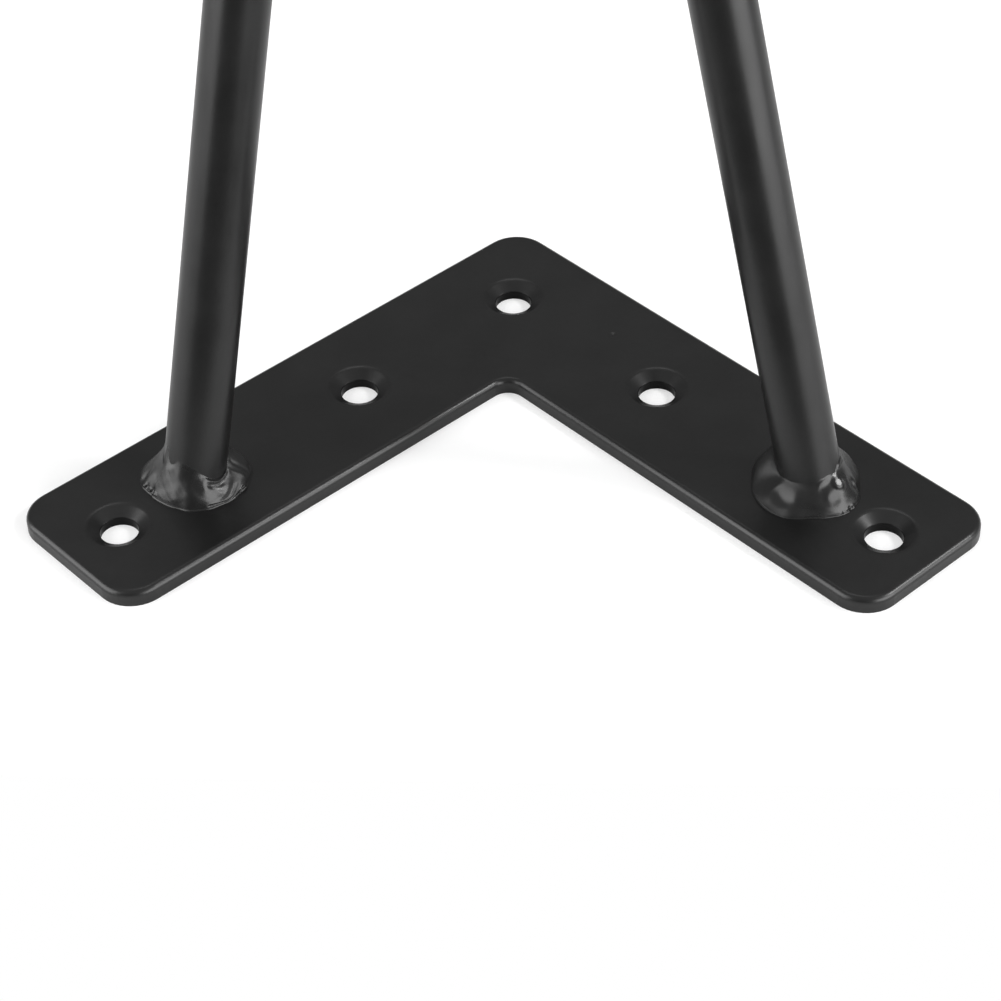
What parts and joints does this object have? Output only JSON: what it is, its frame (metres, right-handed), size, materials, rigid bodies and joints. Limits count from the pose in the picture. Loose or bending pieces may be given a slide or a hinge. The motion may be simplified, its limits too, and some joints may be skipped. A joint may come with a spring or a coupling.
{
  "type": "hairpin table leg",
  "caption": "Black hairpin table leg: an L-shaped steel plate with countersunk screw holes carries a round bar bent into a hairpin, its ends welded to the plate",
  "frame": {"origin": "on the axis of the corner screw hole, on the plate's mounting face", "axes": "+Z from the mounting face along the leg to its bend, +Y towards the plate's outer corner, +X towards the right arm; in use the leg is turned over, with +Z down"},
  "size_m": [0.1492, 0.0933, 0.203],
  "materials": {
    "plate_coating": "satin black powder coat on steel plate",
    "bar_coating": "satin black powder coat on steel bar",
    "weld_coating": "satin black powder coat over the weld"
  },
  "bodies": {
    "root": {"mounting_plate": "plate_coating", "hairpin_bar": "bar_coating", "weld_bead_left": "weld_coating", "weld_bead_right": "weld_coating"}
  },
  "joints": []
}
